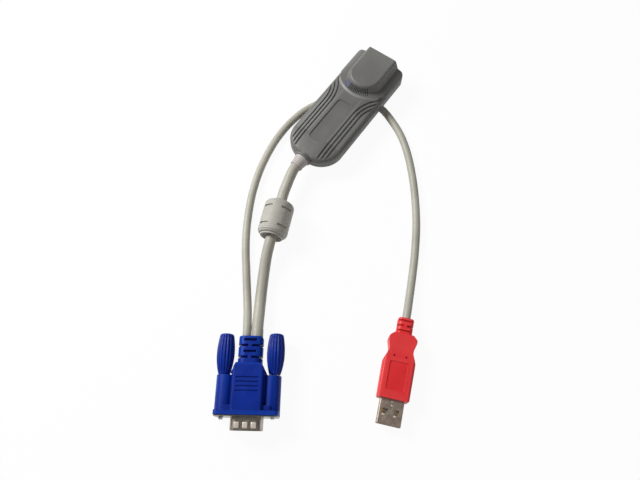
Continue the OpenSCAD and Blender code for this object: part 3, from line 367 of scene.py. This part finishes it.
def nose_collar_piece(name):
    """Plug of the nose's hole, flush with the skin but over the lead, and the lip in front of it."""
    front, hole_r, least_r, rings = -39.97, 4.1, 3.12, []
    steps = ([(-35.66 - 4.3 * i / 14, hole_r) for i in range(15)]
             + [(front, 4.9), (-40.2, 5.2), (-40.8, 5.22), (-41.2, 5.1), (-41.5, 4.85), (-41.6, 4.6),
                (-41.6, 4.2)])
    for y, full_r in steps:
        ring = []
        for k in range(SLEEVE_SIDES):
            a = k * math.tau / SLEEVE_SIDES
            r = full_r
            while (y > front and r > least_r
                   and LEAD_H + r * math.sin(a) > nose_height(r * math.cos(a), y) + 0.004):
                r -= 0.01
            ring.append(Vector((r * math.cos(a), y, r * math.sin(a) + LEAD_Z)) * MM)
        rings.append(ring)
    return add_piece(name, *ring_skin(rings))


nose_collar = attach(nose_collar_piece("nose_collar"), "module")
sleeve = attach(tapered_sleeve("tapered_sleeve"), "module")
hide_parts("pod_strain_relief")


def raised_bumps(name, place, bumps, levels):
    """Square-shouldered bumps; each has a centre, the way it faces and its half width and length."""
    verts, faces = [], []
    sides, square = 24, 7
    for x, y, z, up, wide, long in bumps:
        start = len(verts)
        for share, rise in levels:
            for k in range(sides):
                a = k * math.tau / sides
                c, q = math.cos(a), math.sin(a)
                bulge = share / (abs(c) ** square + abs(q) ** square) ** (1 / square)
                verts.append(place @ (Vector((x + wide * bulge * c, y + long * bulge * q,
                                              z + up * rise)) * MM))
        for j in range(len(levels) - 1):
            for k in range(sides):
                n, m = start + j * sides, (k + 1) % sides
                faces.append((n + k, n + m, n + sides + m, n + sides + k))
        faces.append(tuple(range(start + sides * (len(levels) - 1), start + sides * len(levels))))
        faces.append(tuple(reversed(range(start, start + sides))))
    return add_piece(name, verts, faces)


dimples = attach(raised_bumps(
    "shell_dimples", PLUG_FRAME,
    [(4.05 * i, 42.3, 4.13 * face, face, 1.33, 1.55) for face in (-1, 1) for i in (-1, 0, 1)],
    ((1.0, 0.0), (0.98, 0.25), (0.94, 0.4), (0.86, 0.48), (0.5, 0.485))), "module")

BUS_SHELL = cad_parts["bus_plug_shell"]
BUS_PLUG_FRAME = Matrix.Translation(BUS_PLUG_AT) @ Matrix.Rotation(BUS_PLUG_TURN, 4, "Z")
shell_levels = [((BUS_SHELL.matrix_world @ v.co).z - BUS_PLUG_AT.z) / MM for v in BUS_SHELL.data.vertices]
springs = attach(raised_bumps(
    "bus_shell_springs", BUS_PLUG_FRAME,
    [(x, y, z, up, wide, long) for z, up in ((min(shell_levels), -1), (max(shell_levels), 1))
     for x, y, wide, long in ((-2.5, 48.75, 0.75, 0.5), (3.2, 48.75, 0.75, 0.5), (-0.3, 42.1, 0.7, 0.35),
                              (-0.2, 44.0, 0.6, 0.45))],
    ((1.0, -0.1), (0.95, 0.1), (0.7, 0.2), (0.4, 0.22))), "module")


# Materials: each one is built from object-space noise, so it has the same scale on every piece
def new_material(name):
    m = bpy.data.materials.new(name)
    m.use_nodes = True
    nodes, links = m.node_tree.nodes, m.node_tree.links
    return m, nodes, links, nodes["Principled BSDF"]


def noise(nodes, links, coord, scale, detail=3.0, stretch=None):
    source = coord
    if stretch:
        mapping = nodes.new("ShaderNodeMapping")
        mapping.inputs["Scale"].default_value = stretch
        links.new(coord, mapping.inputs["Vector"])
        source = mapping.outputs["Vector"]
    n = nodes.new("ShaderNodeTexNoise")
    n.inputs["Scale"].default_value = scale
    n.inputs["Detail"].default_value = detail
    links.new(source, n.inputs["Vector"])
    return n.outputs["Fac"]


def spread(nodes, links, value, low, high, start=0.3, end=0.7):
    r = nodes.new("ShaderNodeMapRange")
    r.inputs["From Min"].default_value = start
    r.inputs["From Max"].default_value = end
    r.inputs["To Min"].default_value = low
    r.inputs["To Max"].default_value = high
    links.new(value, r.inputs["Value"])
    return r.outputs["Result"]


def two_tone(nodes, links, value, dark, light):
    ramp = nodes.new("ShaderNodeValToRGB")
    ramp.color_ramp.elements[0].position = 0.3
    ramp.color_ramp.elements[0].color = (*dark, 1)
    ramp.color_ramp.elements[1].position = 0.7
    ramp.color_ramp.elements[1].color = (*light, 1)
    links.new(value, ramp.inputs["Fac"])
    return ramp.outputs["Color"]


def edge_wear_and_painted_highlight(nodes, links, colour, rim, strength):
    """Edges a little lighter than the faces, as handling leaves them, and a painted highlight along convex
    edges.
    """
    g = nodes.new("ShaderNodeNewGeometry")
    share = spread(nodes, links, g.outputs["Pointiness"], 0.0, strength, 0.52, 0.62)
    mix = nodes.new("ShaderNodeMix")
    mix.data_type = "RGBA"
    links.new(share, mix.inputs["Factor"])
    links.new(colour, mix.inputs["A"])
    mix.inputs["B"].default_value = (*rim, 1)
    return mix.outputs["Result"]


def bumped(nodes, links, bsdf, layers, edge=0.0):
    """Stacks bump layers of (height, distance in metres, strength) over a softened edge."""
    normal = None
    if edge:
        bevel = nodes.new("ShaderNodeBevel")
        bevel.samples = 6
        bevel.inputs["Radius"].default_value = edge
        normal = bevel.outputs["Normal"]
    for height, distance, strength in layers:
        b = nodes.new("ShaderNodeBump")
        b.inputs["Distance"].default_value = distance
        b.inputs["Strength"].default_value = strength
        links.new(height, b.inputs["Height"])
        if normal is not None:
            links.new(normal, b.inputs["Normal"])
        normal = b.outputs["Normal"]
    links.new(normal, bsdf.inputs["Normal"])


def ripples(nodes, links, coord, turn, period):
    """Even rings across an axis that lies at an angle to the row's Y axis."""
    mapping = nodes.new("ShaderNodeMapping")
    mapping.inputs["Rotation"].default_value = (0, 0, turn)
    links.new(coord, mapping.inputs["Vector"])
    wave = nodes.new("ShaderNodeTexWave")
    wave.bands_direction = "Y"
    wave.inputs["Scale"].default_value = math.tau / 20 / period
    wave.inputs["Distortion"].default_value = 0.4
    links.new(mapping.outputs["Vector"], wave.inputs["Vector"])
    return wave.outputs["Fac"]


def moulded(name, dark, light, rim, roughness, grain, grain_depth, edge=0.00025, wear_and_highlight=0.25,
            specular=0.5, coat=0.0, rings=None):
    """Moulded plastic: cloudy colour, fine spark-eroded grain and edges lightened by slight rubbing and by
    painted highlight.
    """
    m, nodes, links, bsdf = new_material(name)
    coord = nodes.new("ShaderNodeTexCoord").outputs["Object"]
    cloud = noise(nodes, links, coord, 90.0, 4.0)
    speck = noise(nodes, links, coord, grain, 2.0)
    smear = noise(nodes, links, coord, 260.0, 3.0, (1.0, 0.35, 1.0))
    colour = two_tone(nodes, links, cloud, dark, light)
    # Convex edges take the rim colour: partly handling wear, partly painted highlight.
    links.new(edge_wear_and_painted_highlight(nodes, links, colour, rim, wear_and_highlight), bsdf.inputs["Base Color"])
    links.new(spread(nodes, links, smear, roughness - 0.06, roughness + 0.07), bsdf.inputs["Roughness"])
    bsdf.inputs["Specular IOR Level"].default_value = specular
    bsdf.inputs["Coat Weight"].default_value = coat
    bsdf.inputs["Coat Roughness"].default_value = 0.2
    layers = [(speck, grain_depth, 0.5), (smear, grain_depth, 0.25)]
    if rings:
        layers.append((ripples(nodes, links, coord, rings[0], rings[1]), rings[2], 0.8))
    bumped(nodes, links, bsdf, layers, edge)
    return m


def plated(name, dark, light, roughness, brush=(1.0, 0.06, 1.0), brush_scale=2600.0, depth=0.000004,
           edge=0.00012):
    """Plated metal with fine draw marks and patches of tarnish."""
    m, nodes, links, bsdf = new_material(name)
    coord = nodes.new("ShaderNodeTexCoord").outputs["Object"]
    marks = noise(nodes, links, coord, brush_scale, 3.0, brush)
    patch = noise(nodes, links, coord, 420.0, 4.0)
    links.new(two_tone(nodes, links, patch, dark, light), bsdf.inputs["Base Color"])
    links.new(spread(nodes, links, marks, roughness - 0.07, roughness + 0.1), bsdf.inputs["Roughness"])
    bsdf.inputs["Metallic"].default_value = 1.0
    bumped(nodes, links, bsdf, [(marks, depth, 0.4)], edge)
    return m


def vinyl(name, dark, light, roughness):
    """Extruded cable jacket: faint rings and streaks from the die, dull satin skin."""
    m, nodes, links, bsdf = new_material(name)
    coord = nodes.new("ShaderNodeTexCoord").outputs["Object"]
    cloud = noise(nodes, links, coord, 55.0, 3.0)
    streak = noise(nodes, links, coord, 700.0, 3.0)
    skin = noise(nodes, links, coord, 5200.0, 2.0)
    links.new(two_tone(nodes, links, cloud, dark, light), bsdf.inputs["Base Color"])
    links.new(spread(nodes, links, streak, roughness - 0.06, roughness + 0.08), bsdf.inputs["Roughness"])
    bsdf.inputs["Subsurface Weight"].default_value = 0.04
    bsdf.inputs["Subsurface Scale"].default_value = 0.0008
    bsdf.inputs["Specular IOR Level"].default_value = 0.4
    bumped(nodes, links, bsdf, [(streak, 0.00003, 0.3), (skin, 0.000012, 0.4)], 0.0002)
    return m


# A grey lighter than the pod's own: painted highlight on the ledge's chamfer.
LEDGE_HIGHLIGHT_GREY = moulded("pod_rim_painted_highlight", (0.19, 0.187, 0.178), (0.215, 0.212, 0.202), (0.30, 0.30, 0.29),
                 0.5, 3600.0, 0.00003, 0.0003, 0.3, 0.42)
GREY = moulded("pod_grey_plastic", (0.118, 0.116, 0.109), (0.142, 0.139, 0.131), (0.26, 0.26, 0.25),
               0.5, 3600.0, 0.00003, 0.0003, 0.45, 0.42)
DARK = moulded("jack_dark_plastic", (0.012, 0.012, 0.013), (0.02, 0.02, 0.022), (0.05, 0.05, 0.05),
               0.42, 3000.0, 0.00001)
# The blue's light rim colour, at a large edge share, paints a highlight along the hood's edges.
BLUE = moulded("plug_blue_plastic", (0.0008, 0.0165, 0.20), (0.0012, 0.024, 0.28), (0.004, 0.06, 0.42),
               0.38, 2600.0, 0.00002, 0.00055, 0.6, 0.18)
RED = moulded("plug_red_plastic", (0.62, 0.018, 0.022), (0.74, 0.03, 0.034), (0.84, 0.09, 0.09),
              0.44, 2600.0, 0.00002, 0.0003, 0.35, 0.28)
WHITE = moulded("white_insulator", (0.70, 0.69, 0.64), (0.76, 0.75, 0.70), (0.8, 0.8, 0.76),
                0.45, 2800.0, 0.00001)
CHIP = moulded("chip_epoxy", (0.010, 0.010, 0.011), (0.018, 0.018, 0.019), (0.03, 0.03, 0.03),
               0.6, 5200.0, 0.00001)
TAN = moulded("capacitor_ceramic", (0.36, 0.22, 0.09), (0.44, 0.28, 0.12), (0.5, 0.35, 0.2),
              0.4, 3000.0, 0.00001)
FERRITE = moulded("sintered_ferrite", (0.014, 0.014, 0.015), (0.028, 0.028, 0.03), (0.05, 0.05, 0.05),
                  0.55, 4200.0, 0.00004)
LAMP = moulded("lamp_resin", (0.102, 0.099, 0.13), (0.118, 0.114, 0.155), (0.145, 0.143, 0.18),
               0.5, 900.0, 0.000004, 0.00015, 0.2, 0.15)
JACKET = vinyl("lead_vinyl", (0.345, 0.33, 0.275), (0.42, 0.405, 0.345), 0.46)
COVER = moulded("bead_cover_plastic", (0.375, 0.362, 0.32), (0.43, 0.415, 0.37), (0.54, 0.525, 0.48),
                0.44, 2400.0, 0.00002, 0.0003, 0.35, 0.4, rings=(-BEAD_TURN, 0.00115, 0.00022))
SLEEVE = moulded("strain_relief_plastic", (0.40, 0.365, 0.345), (0.46, 0.42, 0.40), (0.58, 0.54, 0.52),
                 0.46, 2400.0, 0.00002, 0.0003, 0.3, 0.4, rings=(0.0, 0.0011, 0.00004))
NICKEL = plated("nickel_plate", (0.25, 0.22, 0.185), (0.40, 0.36, 0.31), 0.32)
SATIN = plated("satin_nickel", (0.33, 0.262, 0.21), (0.47, 0.385, 0.32), 0.46, depth=0.0000006,
               edge=0.00004)
# Nickel lighter and less metallic than the plated shell: painted highlight on the shell's dimples and
# springs.
HIGHLIT_NICKEL = moulded("nickel_painted_highlight", (0.50, 0.43, 0.36), (0.62, 0.55, 0.47), (0.74, 0.68, 0.6), 0.44, 2600.0,
                 0.00001, 0.00003, 0.2, 0.7)
HIGHLIT_NICKEL.node_tree.nodes["Principled BSDF"].inputs["Metallic"].default_value = 0.35
STEEL = plated("zinc_steel", (0.46, 0.46, 0.46), (0.60, 0.60, 0.60), 0.34, (1.0, 0.2, 1.0))
GOLD = plated("gold_flash", (0.72, 0.48, 0.16), (0.86, 0.60, 0.24), 0.22)


def board_material():
    """Solder mask with copper tracks showing through it."""
    m, nodes, links, bsdf = new_material("board_solder_mask")
    coord = nodes.new("ShaderNodeTexCoord").outputs["Object"]
    brick = nodes.new("ShaderNodeTexBrick")
    brick.inputs["Scale"].default_value = 420.0
    brick.inputs["Mortar Size"].default_value = 0.06
    brick.inputs["Color1"].default_value = (0.012, 0.10, 0.04, 1)
    brick.inputs["Color2"].default_value = (0.010, 0.085, 0.034, 1)
    brick.inputs["Mortar"].default_value = (0.03, 0.19, 0.07, 1)
    links.new(coord, brick.inputs["Vector"])
    links.new(brick.outputs["Color"], bsdf.inputs["Base Color"])
    weave = noise(nodes, links, coord, 3000.0, 2.0)
    links.new(spread(nodes, links, weave, 0.28, 0.4), bsdf.inputs["Roughness"])
    bumped(nodes, links, bsdf, [(brick.outputs["Fac"], 0.00002, 0.5), (weave, 0.00001, 0.3)])
    return m


BOARD = board_material()

DRESS = {
    "upper_shell": GREY, "lower_shell": GREY, "case_screws": STEEL, "circuit_board": BOARD,
    "controller_chip": CHIP, "line_driver_chips": CHIP, "clock_crystal": NICKEL,
    "board_capacitors": TAN, "status_lamp": LAMP, "lead_header": WHITE, "core_wires": GOLD,
    "jack_housing": DARK, "jack_contacts": GOLD, "pod_strain_relief": SLEEVE,
    "ferrite_core": FERRITE, "ferrite_cover": COVER, "plug_hood": BLUE,
    "plug_front_shell": NICKEL, "plug_rear_shell": NICKEL, "plug_insulator": DARK,
    "plug_pins": GOLD, "left_screw_washer": STEEL, "right_screw_washer": STEEL,
    "left_screw_shaft": STEEL, "right_screw_shaft": STEEL, "left_thumb_knob": BLUE,
    "right_thumb_knob": BLUE, "bus_plug_grip": RED, "bus_plug_shell": SATIN,
    "bus_plug_tongue": WHITE, "bus_plug_contacts": GOLD}
for node_name, finish in DRESS.items():
    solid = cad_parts[node_name]
    if not solid.material_slots:
        solid.data.materials.append(finish)
    for material_slot in solid.material_slots:
        material_slot.material = finish
for cord_piece in (video_cord, bus_cord):
    cord_piece.data.materials.append(JACKET)
screws.data.materials.append(STEEL)
lens.data.materials.append(LAMP)
# The chamfer's lighter grey is a painted highlight.
bevel.data.materials.append(LEDGE_HIGHLIGHT_GREY)
nose_collar.data.materials.append(GREY)
sleeve.data.materials.append(SLEEVE)
# Dimples and springs take the lighter nickel as a painted highlight.
dimples.data.materials.append(HIGHLIT_NICKEL)
springs.data.materials.append(HIGHLIT_NICKEL)
# Painted shade in the slits, in the jack's dark plastic.
for slit in SLIT_SHADE_STRIPS:
    slit.data.materials.append(DARK)
for side in ("left", "right"):
    bpy.data.objects[side + "_fluted_knob"].data.materials.append(BLUE)
    bpy.data.objects[side + "_threaded_shaft"].data.materials.append(STEEL)

# Floor, world and lamps: white to the camera, with a faint shadow, and a plain level on the object
RIGHT = Vector((0.811, 0.585, 0))
UP = Vector((-0.585, 0.811, 0))


def white_seen(nodes, links, shader, share):
    """Mixes a plain white into what camera, glossy and transmission rays see of a stage surface."""
    path = nodes.new("ShaderNodeLightPath")
    either = nodes.new("ShaderNodeMath")
    either.operation = "MAXIMUM"
    links.new(path.outputs["Is Camera Ray"], either.inputs[0])
    links.new(path.outputs["Is Glossy Ray"], either.inputs[1])
    all_rays = nodes.new("ShaderNodeMath")
    all_rays.operation = "MAXIMUM"
    links.new(either.outputs[0], all_rays.inputs[0])
    links.new(path.outputs["Is Transmission Ray"], all_rays.inputs[1])
    scaled = nodes.new("ShaderNodeMath")
    scaled.operation = "MULTIPLY"
    scaled.inputs[1].default_value = share
    links.new(all_rays.outputs[0], scaled.inputs[0])
    white = nodes.new("ShaderNodeEmission")
    white.inputs["Color"].default_value = (1, 1, 1, 1)
    white.inputs["Strength"].default_value = 1.0
    mix = nodes.new("ShaderNodeMixShader")
    links.new(scaled.outputs[0], mix.inputs["Fac"])
    links.new(shader, mix.inputs[1])
    links.new(white.outputs["Emission"], mix.inputs[2])
    return mix.outputs["Shader"]


floor_mesh = bpy.data.meshes.new("floor")
FLOOR_HALF = 3.0
floor_mesh.from_pydata([(-FLOOR_HALF, -FLOOR_HALF, FLOOR_Z), (FLOOR_HALF, -FLOOR_HALF, FLOOR_Z),
                        (FLOOR_HALF, FLOOR_HALF, FLOOR_Z), (-FLOOR_HALF, FLOOR_HALF, FLOOR_Z)],
                       [], [(0, 1, 2, 3)])
floor = bpy.data.objects.new("floor", floor_mesh)
scene.collection.objects.link(floor)
floor_material, floor_nodes, floor_links, floor_bsdf = new_material("floor_white")
floor_bsdf.inputs["Base Color"].default_value = (0.8, 0.8, 0.8, 1)
floor_bsdf.inputs["Roughness"].default_value = 0.9
floor_out = floor_nodes["Material Output"]
floor_links.new(white_seen(floor_nodes, floor_links, floor_bsdf.outputs["BSDF"], 0.94),
                floor_out.inputs["Surface"])
floor_mesh.materials.append(floor_material)

world = bpy.data.worlds.new("studio")
scene.world = world
world.use_nodes = True
world_nodes, world_links = world.node_tree.nodes, world.node_tree.links
sky = world_nodes["Background"]
sky.inputs["Color"].default_value = (1, 1, 1, 1)
sky.inputs["Strength"].default_value = 0.2
bright = world_nodes.new("ShaderNodeBackground")
bright.inputs["Color"].default_value = (1, 1, 1, 1)
bright.inputs["Strength"].default_value = 1.0
seen = world_nodes.new("ShaderNodeLightPath")
pick = world_nodes.new("ShaderNodeMixShader")
world_links.new(seen.outputs["Is Camera Ray"], pick.inputs["Fac"])
world_links.new(sky.outputs["Background"], pick.inputs[1])
world_links.new(bright.outputs["Background"], pick.inputs[2])
world_links.new(pick.outputs["Shader"], world_nodes["World Output"].inputs["Surface"])


def soft_lamp(name, offset, size, level):
    """Square lamp aimed at the object; level is the share of plain white that it gives at the middle."""
    light = bpy.data.lights.new(name, "AREA")
    light.shape = "SQUARE"
    light.size = size
    away = offset.length
    light.energy = level * math.pi * math.pi * away * away / (offset.z / away)
    lamp = bpy.data.objects.new(name, light)
    scene.collection.objects.link(lamp)
    lamp.location = look_at + offset
    lamp.rotation_euler = (-offset).to_track_quat("-Z", "Y").to_euler()
    return lamp


soft_lamp("key_lamp", -RIGHT * 0.50 + UP * 0.30 + Vector((0, 0, 0.50)), 0.28, 0.78)
soft_lamp("fill_lamp", RIGHT * 0.35 - UP * 0.45 + Vector((0, 0, 0.6)), 0.5, 0.10)

scene.view_settings.view_transform = "Standard"
